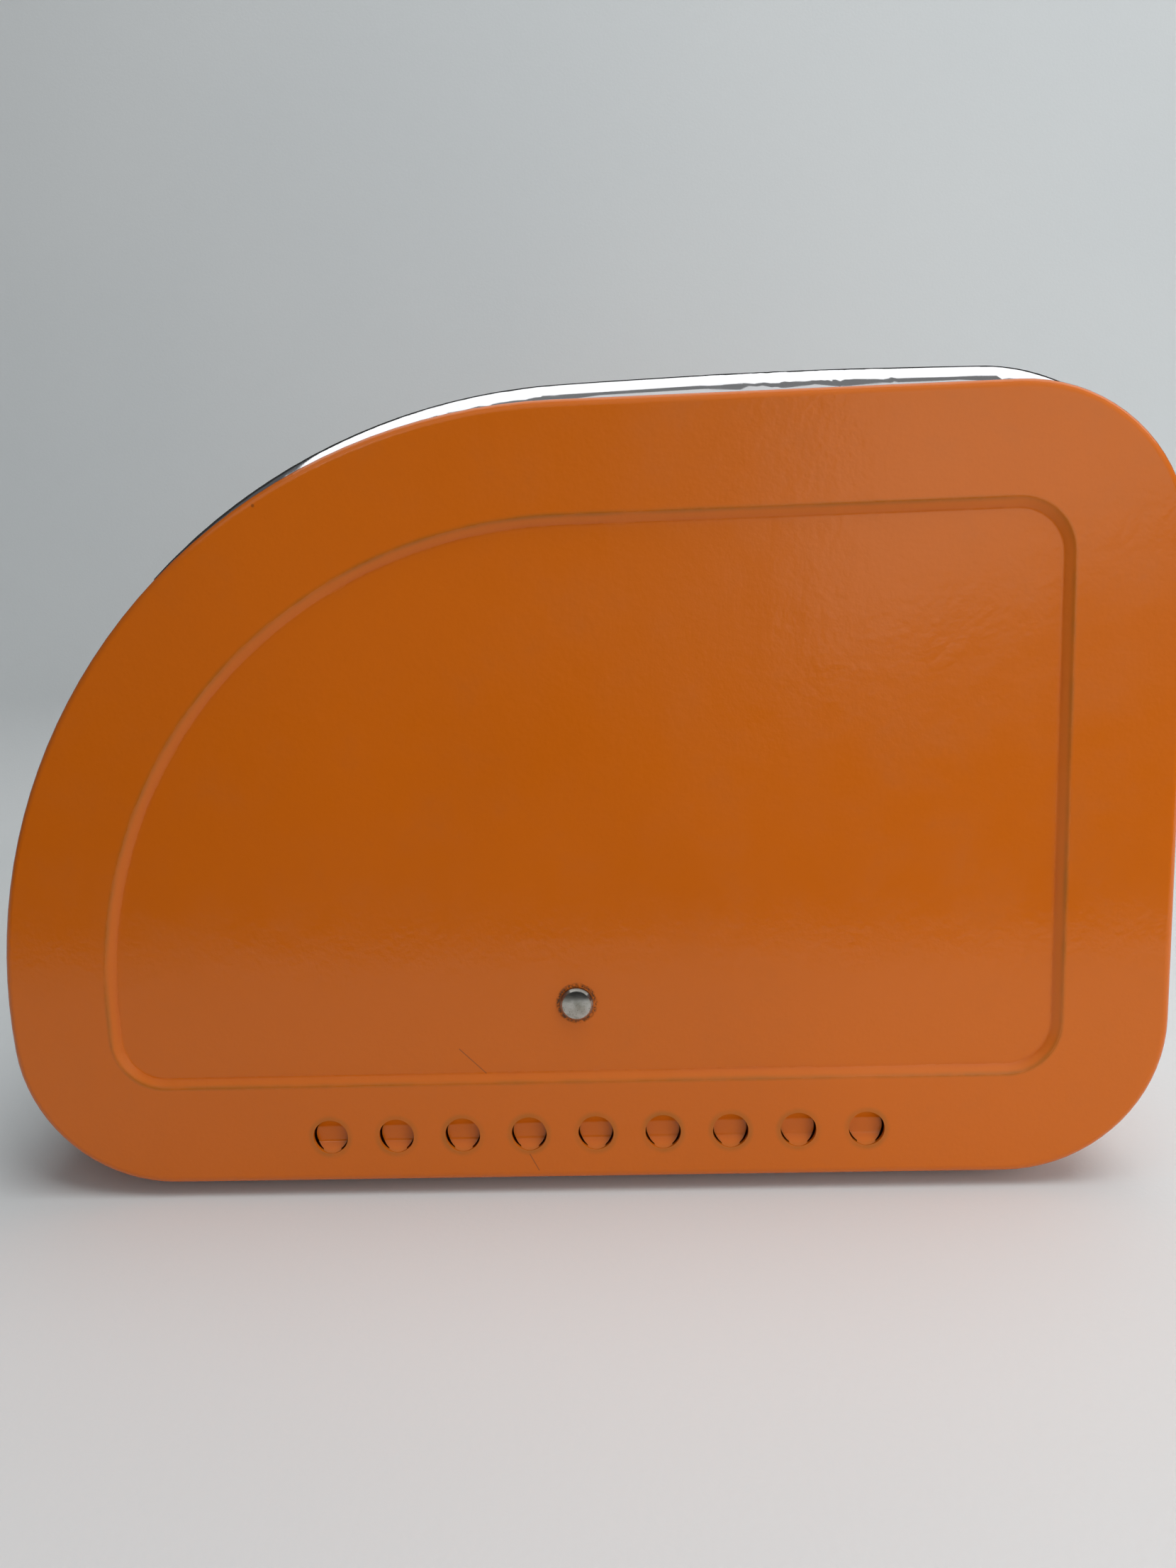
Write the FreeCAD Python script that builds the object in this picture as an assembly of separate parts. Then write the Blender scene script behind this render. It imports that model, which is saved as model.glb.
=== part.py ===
import FreeCAD, Part
import math
import os

# Roll-top bread bin: two enamelled side panels, a chromed hood with rounded shoulders,
# an enamelled base tray, and a chromed lid that turns on two rivets inside the hood.
# Millimetres. +Z up, front towards -Y, width along X.
# The origin is the centre of the bounding box in X and Y, at the underside of the feet.
# Section drawings below use (y, z) measured from the pivot axis, and "depth" is
# measured inwards from the outer face of a side panel.

Vector = FreeCAD.Vector

# --- driving dimensions ------------------------------------------------------------
width = 360.0                 # over the side panels
side_radius = 135.0           # front arc of the side panel, centred on the pivot
pivot_drop = 43.2             # pivot axis to the bottom edge of the side panel
corner_radius = 36.5          # the other three corners of the side panel
foot_drop = 3.5               # the feet hold the side panels off the table

panel_sheet = 1.0
panel_flange = 6.0            # depth of the turned-in rim
panel_lip = 2.0               # outside radius of that rim
field_border = 24.3           # from the outline to the pressed-in field
field_step = 2.2              # width of the drafted step round the field
field_depth = 1.1
crease_radius = 1.1

vent_count = 9
vent_pitch = 15.8
vent_radius = 4.15
vent_row_y = 3.4
vent_row_z = -31.6
vent_push = 2.1               # how far each lanced disc is pushed in
vent_slit = 0.25              # gap round the disc's free sides
vent_tab = 4.2                # width of the two tabs that still hold each disc
vent_ramp = 2.4               # height of the sloping part of a disc, above and below
vent_bend = 1.4

hood_sheet = 0.8
hood_inset = 1.05             # from the outline to the hood's back wall
tongue_inset = 1.25           # the hood's end tongues slip inside the rims of the side panels
tongue_start = 2.2            # depth at which a tongue begins
tongue_gap = 0.3              # between a tongue's lower end and the base tray's back
hood_front_angle = 47.0       # above horizontal
hood_rise = 3.4               # the hood stands this much above the side panels
shoulder_radius = 8.0         # rounding of the hood's two ends
shoulder_level = 13.0         # depth at which a shoulder is level
shoulder_start = 6.1          # the shoulders begin just inside the panels' rims
roof_growth = 1.6             # the front arc grows this much towards the roof
roof_corner = 42.0            # rear corner radius of the roof
roll_radius = 1.6             # rolled front edge of the hood
roll_proud = 0.15             # a rolled edge stands this much above its sheet
hood_wire_radius = 0.8
hood_back_end = -6.0          # lower edge of the hood's back wall, from the pivot
seam_rivet_count = 5
seam_rivet_pitch = 70.0
case_rivet_radius = 1.6       # the seam rivets and the rivets that hold the feet

base_sheet = 0.9
base_inset = 1.9
base_back_end = 14.0          # upper edge of the tray's back wall, from the pivot
sill_height = -28.0           # top of the front sill, from the pivot
sill_lip = 9.0
base_crown = 11.0             # the front sill swells this much between its ends
base_crown_reach = 22.0

lid_sheet = 0.8
lid_end_depth = 9.0           # the lid stops short of the side panels
lid_end_strip = 8.0           # uncrowned strip where the cheeks are riveted on
lid_radius = 131.0
lid_crown = 4.0
lid_crown_reach = 14.0
lid_top_angle = 56.0
lid_sweep_start = -16.0       # the lid's sheet is swept from here, then cut off level
lid_edge_height = -25.0       # centre of the rolled lower edge, from the pivot
lid_roll_radius = 1.5
lid_wire_radius = 0.7
cheek_sheet = 0.8
cheek_hub_radius = 14.0
cheek_rivet_angles = (-4.0, 12.0, 28.0, 44.0)
cheek_rivet_radius = 1.2

shank_radius = 2.5
running_gap = 0.05
head_radius = 3.87
head_height = 1.5
head_chamfer = 0.55
washer_thickness = 1.0
bush_radius = 4.0
bush_flange_radius = 6.5
bush_flange = 1.0
bush_length = 2.6
spacer_radius = 5.0
washer_radius = 6.0
gap = 0.3                     # between parts that turn past each other

handle_length = 110.0
handle_reach = 157.0          # front face, from the pivot
handle_top = -7.0
handle_bottom = -21.0
handle_wall = 3.5
handle_rounding = 4.0
handle_screw_x = 40.0
handle_screw_radius = 1.5

foot_radius = 9.0
foot_x = width / 2 - 34.0
foot_front_y = -92.0
foot_rear_y = 92.0
foot_recess_radius = 3.6      # the rivet's head sits in a recess under the foot
foot_recess = 2.2
buffer_x = 85.0
buffer_thickness = 1.2

# --- derived ------------------------------------------------------------------------
half_width = width / 2
pivot_y = (handle_reach - side_radius) / 2
pivot_z = foot_drop + pivot_drop
lid_crown_start = lid_end_depth + lid_end_strip
lid_level = lid_crown_start + lid_crown_reach
lid_mid_radius = lid_radius + lid_crown
X_AXIS = Vector(1, 0, 0)
Z_AXIS = Vector(0, 0, 1)
PIVOT = Vector(0, pivot_y, pivot_z)


def at(x, y, z):
    """A point from x and a (y, z) measured from the pivot axis."""
    return Vector(x, pivot_y + y, pivot_z + z)


def polar(radius, degrees):
    """(y, z) at an angle above the horizontal, on the front side of the pivot."""
    angle = math.radians(degrees)
    return -radius * math.cos(angle), radius * math.sin(angle)


def line(x, start, end):
    return Part.LineSegment(at(x, *start), at(x, *end)).toShape()


def arc(x, start, middle, end):
    return Part.Arc(at(x, *start), at(x, *middle), at(x, *end)).toShape()


def on_circle(centre, radius, direction):
    length = math.hypot(*direction)
    return centre[0] + radius * direction[0] / length, centre[1] + radius * direction[1] / length


def save(name, shape):
    if not shape.isValid():
        print("NOT VALID:", name)
    shape.exportStep("parts/" + name + ".step")
    print(name, len(shape.Solids), round(shape.Volume, 1))


def mirrored(shape):
    return shape.mirror(Vector(0, 0, 0), X_AXIS)


def save_pair(name, right_shape):
    save(name + "_right", right_shape)
    save(name + "_left", mirrored(right_shape))


def rod(start, direction, radius, length):
    return Part.makeCylinder(radius, length, start, direction)


def across(depth, y, z, radius, length):
    """A cylinder along X that starts at a depth inside the right-hand panel and runs inwards."""
    return rod(at(half_width - depth, y, z), Vector(-1, 0, 0), radius, length)


# --- side panel ---------------------------------------------------------------------
def front_corner_centre(radius, corner, drop):
    z = corner - drop
    return -math.sqrt((radius - corner) ** 2 - z * z), z


def side_outline(x, inset):
    """The side panel's outline moved inwards by inset, as a closed wire at x."""
    radius = side_radius - inset
    corner = corner_radius - inset
    bottom = inset - pivot_drop
    straight = side_radius - corner_radius
    front = front_corner_centre(side_radius, corner_radius, pivot_drop)
    tangent = on_circle((0, 0), radius, front)
    upper = (straight, straight)
    lower = (straight, corner_radius - pivot_drop)
    edges = [
        line(x, (0, radius), (straight, radius)),
        arc(x, (straight, radius), on_circle(upper, corner, (1, 1)), (radius, straight)),
        line(x, (radius, straight), (radius, lower[1])),
        arc(x, (radius, lower[1]), on_circle(lower, corner, (1, -1)), (straight, bottom)),
        line(x, (straight, bottom), (front[0], bottom)),
        arc(x, (front[0], bottom), on_circle(front, corner, (-1, -1)), tangent),
        arc(x, tangent, on_circle((0, 0), radius, (-1, 1)), (0, radius)),
    ]
    return Part.Wire(edges)


def outline_block(inset, depth_from, depth_to):
    face = Part.Face(side_outline(half_width - depth_from, inset))
    return face.extrude(Vector(depth_from - depth_to, 0, 0))


def edges_at_depth(shape, depth):
    x = half_width - depth
    return [e for e in shape.Edges if abs(e.BoundBox.XMin - x) < 1e-4 and abs(e.BoundBox.XMax - x) < 1e-4]


def field_block(outer_inset, inner_inset, depth_from, depth_to):
    outer = side_outline(half_width - depth_from, outer_inset)
    inner = side_outline(half_width - depth_to, inner_inset)
    return Part.makeLoft([outer, inner], True, True)


def vent_cutter(y, z):
    return across(-1, y, z, vent_radius, panel_sheet + 2)


def vent_bridge(y, z):
    """A lanced disc: it stays joined above and below, and is pushed in between."""
    top = vent_radius + 0.3
    ramp = vent_radius - vent_ramp
    outer = [(0.0, top), (vent_push, ramp), (vent_push, -ramp), (0.0, -top)]
    inner = [(depth + panel_sheet, height) for depth, height in reversed(outer)]
    corners = []
    for depth, height in outer + inner:
        corners.append(at(half_width - depth, y - 2 * vent_radius, z + height))
    strip = Part.Face(Part.makePolygon(corners + corners[:1])).extrude(Vector(0, 4 * vent_radius, 0))
    bends = []
    for edge in strip.Edges:
        if abs(abs(edge.CenterOfMass.z - pivot_z - z) - ramp) < 1e-3 and edge.Length > 2 * vent_radius:
            bends.append(edge)
    strip = strip.makeFillet(vent_bend, bends)
    disc = strip.common(across(-1, y, z, vent_radius - vent_slit, panel_sheet + vent_push + 3))
    tabs = Part.makeBox(panel_sheet + 1, vent_tab, 4 * vent_radius,
                        at(half_width - panel_sheet - 0.5, y - vent_tab / 2, z - 2 * vent_radius))
    tabs = tabs.common(strip).common(across(-1, y, z, vent_radius + 0.2, panel_sheet + 3))
    return disc.fuse(tabs)


def make_side_panel():
    shell = outline_block(0, 0, panel_flange)
    shell = shell.makeFillet(panel_lip, edges_at_depth(shell, 0))
    field_inner = field_border + field_step
    pocket = field_block(field_border, field_inner, 0, field_depth)
    pocket = pocket.makeFillet(crease_radius, edges_at_depth(pocket, field_depth))
    shell = shell.cut(pocket)
    field_reach = side_radius - field_border + 1
    rims = []
    for edge in edges_at_depth(shell, 0):
        box = edge.BoundBox
        inside_y = box.YMax < pivot_y + field_reach and box.YMin > pivot_y - field_reach
        if inside_y and box.ZMax < pivot_z + field_reach:
            rims.append(edge)
    shell = shell.makeFillet(crease_radius, rims)
    hollow = outline_block(panel_sheet, panel_sheet, panel_flange + 1)
    hollow = hollow.makeFillet(panel_lip - panel_sheet, edges_at_depth(hollow, panel_sheet))
    back = field_block(field_border - 0.5, field_inner - 0.5, panel_sheet, field_depth + panel_sheet)
    shell = shell.cut(hollow.cut(back))
    shell = shell.cut(across(-1, 0, 0, shank_radius + running_gap, panel_flange))
    for number in range(vent_count):
        y = vent_row_y + (number - (vent_count - 1) / 2) * vent_pitch
        shell = shell.cut(vent_cutter(y, vent_row_z))
        shell = shell.fuse(vent_bridge(y, vent_row_z))
    return shell.removeSplitter()


# --- hood ---------------------------------------------------------------------------
def crown(depth, start, reach, height):
    """Height of a crown at a depth: it rises from start and is level after reach."""
    share = min(1.0, max(0.0, (depth - start) / reach))
    return height * (1 - (1 - share) ** 2)


def hood_path(x, lift, back_inset, corner, growth, back_end):
    """Hood section from the front edge over the roof and down the back, front to back."""
    radius = side_radius + lift
    top = radius + growth
    back = side_radius - back_inset
    flat = back - corner
    bow = growth * flat / (2 * radius * math.radians(90 - hood_front_angle))
    halfway = polar(radius + growth / 4, (hood_front_angle + 90) / 2)
    return [
        arc(x, polar(radius, hood_front_angle), halfway, (0, top)),
        arc(x, (0, top), (flat / 2, top + bow), (flat, top)),
        arc(x, (flat, top), on_circle((flat, top - corner), corner, (1, 1)), (back, top - corner)),
        line(x, (back, top - corner), (back, back_end)),
    ]


def closed(outer, inner):
    """Closes two open paths that run the same way into one wire."""
    first, last = outer[0].Vertexes[0].Point, outer[-1].Vertexes[-1].Point
    inner_first, inner_last = inner[0].Vertexes[0].Point, inner[-1].Vertexes[-1].Point
    far_end = Part.LineSegment(last, inner_last).toShape()
    near_end = Part.LineSegment(inner_first, first).toShape()
    return Part.Wire(outer + [far_end] + list(reversed(inner)) + [near_end])


def hood_section(x, outer_lift, inner_lift, inset=hood_inset, back_end=hood_back_end):
    """The hood's sheet cut across at x; its corner and front arc grow with its lift."""
    share = max(0.0, outer_lift + inset) / (hood_rise + inset)
    corner = corner_radius - inset
    corner += (roof_corner - corner) * share
    growth = roof_growth * share + 0.01
    outer = hood_path(x, outer_lift, inset, corner, growth, back_end)
    inner = hood_path(x, inner_lift, inset + hood_sheet, corner - hood_sheet, growth, back_end)
    return closed(outer, inner)


def both_ways(depths):
    """Depths from one side panel to the middle, repeated from the other side."""
    return depths + [half_width] + [width - depth for depth in reversed(depths)]


def hood_depths():
    """Depths of the hood's sections, evenly spaced round each shoulder."""
    steepest = math.asin((shoulder_level - shoulder_start) / shoulder_radius)
    shoulder = []
    for step in range(9):
        angle = steepest * (1 - step / 8)
        shoulder.append(shoulder_level - shoulder_radius * math.sin(angle))
    return both_ways(shoulder + [15.0, 18.0, 24.0, 36.0, 60.0, 100.0, 140.0])


def hood_lift(depth, drop=0.0):
    """Height of the hood over the side panels' outline, drop below its outer face."""
    short = max(0.0, shoulder_level - min(depth, width - depth))
    return hood_rise - shoulder_radius + math.sqrt((shoulder_radius - drop) ** 2 - short ** 2)


def bent_tube(points, radius, bore):
    """A round bar along a smooth curve, or a tube where bore is above nought."""
    curve = Part.BSplineCurve()
    curve.interpolate(points)
    spine = Part.Wire(curve.toShape())
    direction = curve.tangent(curve.FirstParameter)[0]
    outer = Part.Wire(Part.Circle(points[0], direction, radius).toShape())
    bar = spine.makePipeShell([outer], True, False)
    if bore > 0:
        inner = Part.Wire(Part.Circle(points[0], direction, bore).toShape())
        bar = bar.cut(spine.makePipeShell([inner], True, False))
    return bar


def hood_edge_bar(radius):
    """A straight bar in the hood's rolled front edge, between the shoulders."""
    y, z = polar(side_radius + hood_rise + roll_proud - roll_radius, hood_front_angle)
    length = width - 2 * shoulder_level - 1.0
    return rod(at(-length / 2, y, z), X_AXIS, radius, length)


def make_hood():
    """One sheet from the front edge to the seam, with a rounded shoulder at each end."""
    sections = []
    for depth in hood_depths():
        x = half_width - depth
        sections.append(hood_section(x, hood_lift(depth), hood_lift(depth, hood_sheet)))
    shell = Part.makeLoft(sections, True, False)
    tongue_wire = hood_section(half_width - tongue_start, -tongue_inset, -tongue_inset - hood_sheet,
                               tongue_inset, base_back_end + tongue_gap)
    tongue = Part.Face(tongue_wire).extrude(Vector(tongue_start - shoulder_start, 0, 0))
    shell = shell.fuse(tongue).fuse(mirrored(tongue))
    shell = shell.fuse(hood_edge_bar(roll_radius)).cut(hood_edge_bar(hood_wire_radius))
    for hole in seam_rivet_shanks():
        shell = shell.cut(hole)
    return shell


def make_hood_edge_wire():
    return hood_edge_bar(hood_wire_radius - 0.02)


# --- base tray ----------------------------------------------------------------------
def base_lift(depth):
    return crown(min(depth, width - depth), panel_flange, base_crown_reach, base_crown)


def base_depths():
    rise = [panel_flange + base_crown_reach * step / 7 for step in range(8)]
    return both_ways(rise + [31.0, 40.0, 60.0, 100.0, 140.0])


def base_path(x, lift, inset, top):
    """Base section from the front sill, along the floor and up the back."""
    corner = corner_radius - inset
    straight = side_radius - corner_radius
    front = front_corner_centre(side_radius + lift, corner_radius, pivot_drop)
    start_y = front[0] - math.sqrt(corner ** 2 - (top - front[1]) ** 2)
    floor = inset - pivot_drop
    back = side_radius - inset
    lower = (straight, corner_radius - pivot_drop)
    start = (start_y, top)
    middle = on_circle(front, corner, (start_y - front[0], top - front[1] - corner))
    return [
        arc(x, start, middle, (front[0], floor)),
        line(x, (front[0], floor), (straight, floor)),
        arc(x, (straight, floor), on_circle(lower, corner, (1, -1)), (back, lower[1])),
        line(x, (back, lower[1]), (back, base_back_end)),
    ]


def base_section(x, lift):
    outer = base_path(x, lift, base_inset, sill_height)
    inner = base_path(x, lift, base_inset + base_sheet, sill_height - base_sheet)
    first, last = outer[0].Vertexes[0].Point, outer[-1].Vertexes[-1].Point
    inner_first, inner_last = inner[0].Vertexes[0].Point, inner[-1].Vertexes[-1].Point
    lip_top = Vector(x, first.y + sill_lip, first.z)
    lip_under = Vector(x, first.y + sill_lip, first.z - base_sheet)
    edges = outer + [Part.LineSegment(last, inner_last).toShape()] + list(reversed(inner))
    edges.append(Part.LineSegment(inner_first, lip_under).toShape())
    edges.append(Part.LineSegment(lip_under, lip_top).toShape())
    edges.append(Part.LineSegment(lip_top, first).toShape())
    return Part.Wire(edges)


def make_base_tray():
    sections = [base_section(half_width - depth, base_lift(depth)) for depth in base_depths()]
    tray = Part.makeLoft(sections, True, False)
    tongue = Part.Face(base_section(half_width - tongue_start, 0))
    tongue = tongue.extrude(Vector(tongue_start - panel_flange, 0, 0))
    tray = tray.fuse(tongue).fuse(mirrored(tongue))
    for hole in foot_rivet_shanks() + seam_rivet_shanks():
        tray = tray.cut(hole)
    return tray


def seam_rivet_places():
    return [(index - (seam_rivet_count - 1) / 2) * seam_rivet_pitch for index in range(seam_rivet_count)]


def seam_rivet_shanks():
    start = side_radius - hood_inset + 1
    z = (hood_back_end + base_back_end) / 2
    return [rod(at(x, start, z), Vector(0, -1, 0), case_rivet_radius, 6) for x in seam_rivet_places()]


def make_seam_rivets():
    outer_face = side_radius - hood_inset
    inner_face = side_radius - base_inset - base_sheet
    z = (hood_back_end + base_back_end) / 2
    solids = []
    for x in seam_rivet_places():
        head = Part.makeCone(3.0, 2.0, 0.9, at(x, outer_face, z), Vector(0, 1, 0))
        tail = Part.makeCone(2.8, 2.0, 1.0, at(x, inner_face, z), Vector(0, -1, 0))
        shank = rod(at(x, outer_face, z), Vector(0, -1, 0), case_rivet_radius, outer_face - inner_face)
        solids.append(head.fuse(shank).fuse(tail))
    return Part.Compound(solids)


# --- feet ---------------------------------------------------------------------------
def foot_places():
    return {
        "front_right": (foot_x, foot_front_y),
        "front_left": (-foot_x, foot_front_y),
        "rear_right": (foot_x, foot_rear_y),
        "rear_left": (-foot_x, foot_rear_y),
    }


def foot_rivet_shanks():
    shanks = []
    for x, y in foot_places().values():
        shanks.append(rod(Vector(x, pivot_y + y, 0), Z_AXIS, case_rivet_radius, 12))
    return shanks


def make_foot(x, y):
    height = foot_drop + base_inset
    base = Vector(x, pivot_y + y, 0)
    foot = Part.makeCone(foot_radius - 1.2, foot_radius, height, base, Z_AXIS)
    foot = foot.makeFillet(0.8, [edge for edge in foot.Edges if edge.BoundBox.ZMax < 0.1])
    foot = foot.cut(rod(base, Z_AXIS, foot_recess_radius, foot_recess))
    return foot.cut(rod(base, Z_AXIS, case_rivet_radius, height))


def make_foot_rivets():
    floor_top = foot_drop + base_inset + base_sheet
    solids = []
    for x, y in foot_places().values():
        base = Vector(x, pivot_y + y, 0)
        head = Part.makeCone(2.4, 3.2, 1.0, base + Vector(0, 0, foot_recess - 1.0), Z_AXIS)
        shank = rod(base + Vector(0, 0, foot_recess), Z_AXIS, case_rivet_radius, floor_top - foot_recess)
        tail = Part.makeCone(2.8, 2.0, 1.0, base + Vector(0, 0, floor_top), Z_AXIS)
        solids.append(head.fuse(shank).fuse(tail))
    return Part.Compound(solids)


def make_sill_buffers():
    """Two rubber pads on the sill that the closed lid comes down on."""
    pads = []
    front = front_corner_centre(side_radius + base_crown, corner_radius, pivot_drop)
    edge_y = front[0] - math.sqrt((corner_radius - base_inset) ** 2 - (sill_height - front[1]) ** 2)
    for x in (-buffer_x, buffer_x):
        pad = Part.makeBox(16, 6, buffer_thickness, at(x - 8, edge_y + 0.8, sill_height))
        pad = pad.makeFillet(1.5, [e for e in pad.Edges if e.BoundBox.ZLength > 1])
        pads.append(pad)
    return Part.Compound(pads)


# --- pivots -------------------------------------------------------------------------
def make_pivot_rivet():
    washer_end = lid_end_depth + bush_length - bush_flange + gap + washer_thickness
    head = across(field_depth - head_height, 0, 0, head_radius, head_height)
    head = head.makeChamfer(head_chamfer, edges_at_depth(head, field_depth - head_height))
    shank = across(field_depth, 0, 0, shank_radius, washer_end - field_depth)
    tail = Part.makeCone(4.2, 3.0, 1.5, at(half_width - washer_end, 0, 0), Vector(-1, 0, 0))
    return head.fuse(shank).fuse(tail)


def make_pivot_spacer():
    start = field_depth + panel_sheet
    length = lid_end_depth - bush_flange - gap - start
    spacer = across(start, 0, 0, spacer_radius, length)
    return spacer.cut(across(start - 1, 0, 0, shank_radius, length + 2))


def make_pivot_washer():
    start = lid_end_depth + bush_length - bush_flange + gap
    washer = across(start, 0, 0, washer_radius, washer_thickness)
    return washer.cut(across(start - 1, 0, 0, shank_radius, washer_thickness + 2))


def make_cheek_bush():
    start = lid_end_depth - bush_flange
    flange = across(start, 0, 0, bush_flange_radius, bush_flange)
    body = across(start, 0, 0, bush_radius, bush_length)
    return flange.fuse(body).cut(across(start - 1, 0, 0, shank_radius + running_gap, bush_length + 2))


# --- lid ----------------------------------------------------------------------------
def lid_outer_radius(depth):
    return lid_radius + crown(min(depth, width - depth), lid_crown_start, lid_crown_reach, lid_crown)


def lid_rise_depths():
    """Depths at which the lid's swelling end is drawn."""
    return [lid_crown_start + lid_crown_reach * step / 8 for step in range(9)]


def lid_depths():
    """Depths along the whole lid, from one end to the other."""
    rise = lid_rise_depths()
    level = [lid_level + (width - 2 * lid_level) * step / 12 for step in range(1, 12)]
    return rise + level + [width - depth for depth in reversed(rise)]


def swelling_end(drop):
    """The curve by which one end of the lid swells, and the same curve at the other end."""
    points = []
    for depth in lid_rise_depths():
        points.append(Vector(half_width - depth, 0, lid_outer_radius(depth) - drop))
    steep = Vector(-lid_crown_reach, 0, 2 * lid_crown).normalize()
    right = Part.BSplineCurve()
    right.interpolate(Points=points, InitialTangent=steep, FinalTangent=Vector(-1, 0, 0))
    points = [Vector(-point.x, 0, point.z) for point in reversed(points)]
    fall = Vector(-lid_crown_reach, 0, -2 * lid_crown).normalize()
    left = Part.BSplineCurve()
    left.interpolate(Points=points, InitialTangent=Vector(-1, 0, 0), FinalTangent=fall)
    return right.toShape(), left.toShape()


def lid_profile(drop):
    """The lid's profile across the width, drop below its outer face, from end to end."""
    reach = half_width - lid_end_depth
    crowned = half_width - lid_crown_start
    level = half_width - lid_level
    low, high = lid_radius - drop, lid_mid_radius - drop
    right, left = swelling_end(drop)
    start, end = Vector(reach, 0, low), Vector(-reach, 0, low)
    edges = [
        Part.LineSegment(start, Vector(crowned, 0, low)).toShape(),
        right,
        Part.LineSegment(Vector(level, 0, high), Vector(-level, 0, high)).toShape(),
        left,
        Part.LineSegment(Vector(-crowned, 0, low), end).toShape(),
    ]
    return edges, start, end


def lid_edge_points():
    """Centre line of the lid's rolled lower edge."""
    points = []
    for depth in [lid_end_depth + 0.5] + lid_depths() + [width - lid_end_depth - 0.5]:
        radius = lid_outer_radius(depth) - lid_roll_radius + roll_proud
        y = -math.sqrt(radius ** 2 - lid_edge_height ** 2)
        points.append(at(half_width - depth, y, lid_edge_height))
    return points


def turn(shape, degrees):
    """Turns a shape about the pivot axis, upwards at the front for a positive angle."""
    copy = shape.copy()
    copy.rotate(PIVOT, X_AXIS, -degrees)
    return copy


def make_lid_shell():
    outer, start, end = lid_profile(0)
    inner, inner_start, inner_end = lid_profile(lid_sheet)
    left_side = Part.LineSegment(end, inner_end).toShape()
    right_side = Part.LineSegment(inner_start, start).toShape()
    profile = Part.Face(Part.Wire(outer + [left_side] + list(reversed(inner)) + [right_side]))
    profile.translate(PIVOT)
    profile = turn(profile, lid_sweep_start - 90)
    shell = profile.revolve(PIVOT, X_AXIS, lid_sweep_start - lid_top_angle)
    below = Part.makeBox(width, width, 60, at(-half_width, -side_radius * 2, lid_edge_height - 60))
    shell = shell.cut(below)
    shell = shell.cut(bent_tube(lid_edge_points(), lid_roll_radius, 0))
    shell = shell.fuse(bent_tube(lid_edge_points(), lid_roll_radius, lid_wire_radius))
    for hole in cheek_rivet_shanks() + handle_screw_shanks(0.1):
        shell = shell.cut(hole)
    return shell


def make_lid_edge_wire():
    return bent_tube(lid_edge_points(), lid_wire_radius - 0.02, 0)


def sector(depth, radius, low, high, thickness):
    """A wedge of sheet about the pivot, between two angles above the horizontal."""
    x = half_width - depth
    corners = [(0, 0), polar(radius, low), polar(radius, (low + high) / 2), polar(radius, high)]
    low_side = line(x, corners[0], corners[1])
    rim = arc(x, *corners[1:])
    high_side = line(x, corners[3], corners[0])
    return Part.Face(Part.Wire([low_side, rim, high_side])).extrude(Vector(-thickness, 0, 0))


def make_lid_cheek():
    low = math.degrees(math.asin((lid_edge_height + lid_roll_radius + 1.5) / lid_radius))
    outer = lid_radius - lid_sheet
    plate = sector(lid_end_depth, outer, low, lid_top_angle, cheek_sheet)
    plate = plate.fuse(across(lid_end_depth, 0, 0, cheek_hub_radius, cheek_sheet))
    rim = sector(lid_end_depth, outer, low, lid_top_angle, lid_end_strip)
    rim = rim.cut(across(lid_end_depth - 1, 0, 0, outer - cheek_sheet, lid_end_strip + 2))
    cheek = plate.fuse(rim).cut(across(lid_end_depth - 1, 0, 0, bush_radius, 4))
    for hole in cheek_rivet_shanks():
        cheek = cheek.cut(hole)
    return cheek


def cheek_rivet_lines():
    """Start point and outward direction of each rivet that holds a cheek to the lid."""
    x = half_width - lid_end_depth - lid_end_strip / 2 - 0.4
    found = []
    for side in (1, -1):
        for angle in cheek_rivet_angles:
            y, z = polar(1.0, angle)
            found.append((side * x, Vector(0, y, z)))
    return found


def cheek_rivet_shanks():
    shanks = []
    for x, direction in cheek_rivet_lines():
        start = Vector(x, pivot_y, pivot_z) + direction * (lid_radius - 6)
        shanks.append(rod(start, direction, cheek_rivet_radius, 8))
    return shanks


def make_cheek_rivets():
    inner_face = lid_radius - lid_sheet - cheek_sheet
    solids = []
    for x, direction in cheek_rivet_lines():
        if x < 0:
            continue
        centre = Vector(x, pivot_y, pivot_z)
        head = Part.makeCone(2.2, 1.5, 0.7, centre + direction * lid_radius, direction)
        seat = centre + direction * (inner_face - 0.02)
        shank = rod(seat, direction, cheek_rivet_radius, lid_radius - inner_face + 0.02)
        tail = Part.makeCone(2.0, 1.4, 0.7, seat, direction * -1)
        solids.append(head.fuse(shank).fuse(tail))
    return Part.Compound(solids)


def handle_screw_lines():
    z = (handle_top + handle_bottom) / 2
    angle = math.degrees(math.asin(z / lid_mid_radius))
    y, z = polar(1.0, angle)
    return [(x, Vector(0, y, z)) for x in (-handle_screw_x, handle_screw_x)]


def handle_screw_shanks(clearance):
    shanks = []
    for x, direction in handle_screw_lines():
        start = Vector(x, pivot_y, pivot_z) + direction * (lid_mid_radius - 5)
        shanks.append(rod(start, direction, handle_screw_radius + clearance, 5 + handle_wall - 0.6))
    return shanks


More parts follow.
